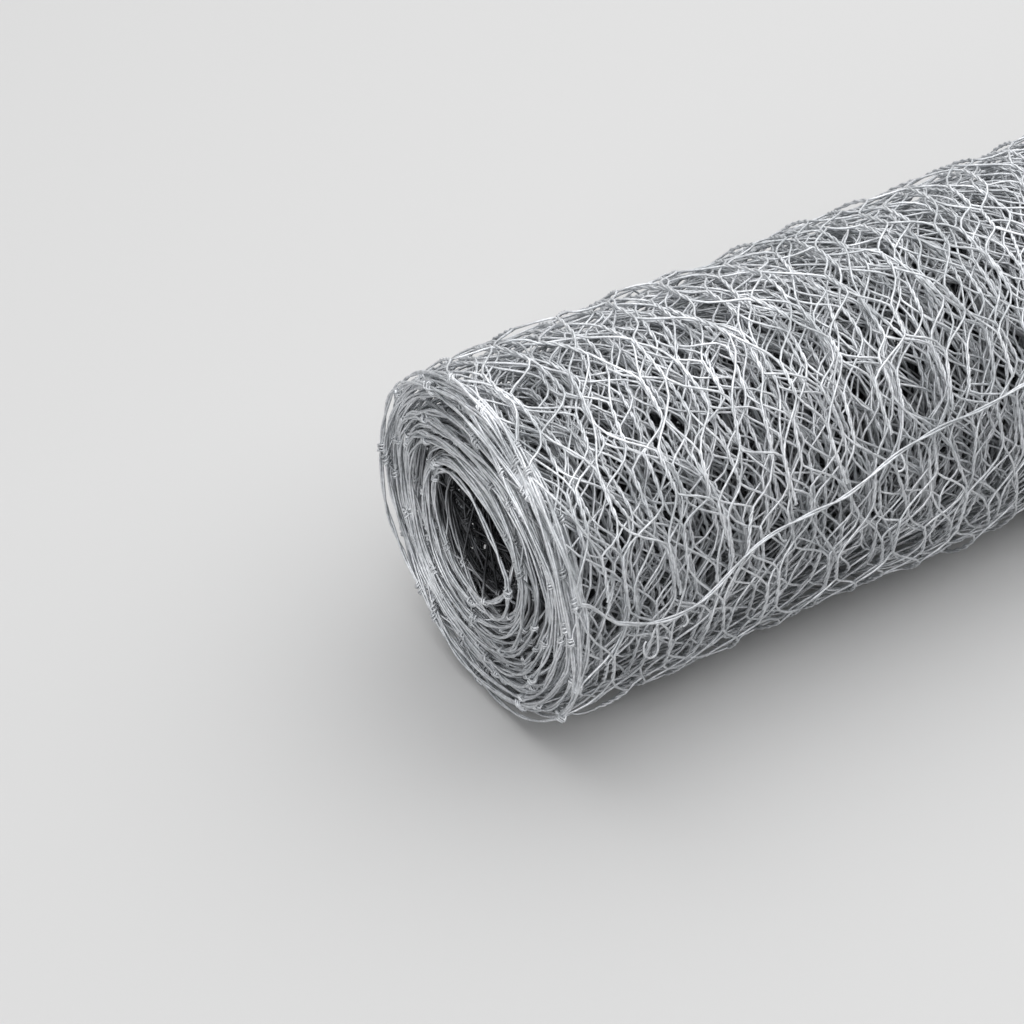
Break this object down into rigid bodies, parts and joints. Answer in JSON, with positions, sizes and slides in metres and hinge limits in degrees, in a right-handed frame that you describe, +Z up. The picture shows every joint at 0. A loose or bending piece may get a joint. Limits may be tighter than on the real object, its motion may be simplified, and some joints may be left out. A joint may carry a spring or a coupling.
{
  "type": "roll of chicken wire",
  "caption": "Lying roll of galvanised hexagonal wire netting with an open bore and the edges of its turns showing on both ends; unrolled to fence, guard or reinforce.",
  "frame": {"origin": "on the floor under the middle of the roll, as it lies on its side", "axes": "+X along the roll's axis, +Z up, +Y across the roll"},
  "size_m": [0.5, 0.2, 0.1999],
  "materials": {
    "galvanised_wire": "galvanised, satin to dull grey"
  },
  "bodies": {
    "root": {"netting_roll": "galvanised_wire"}
  },
  "joints": []
}
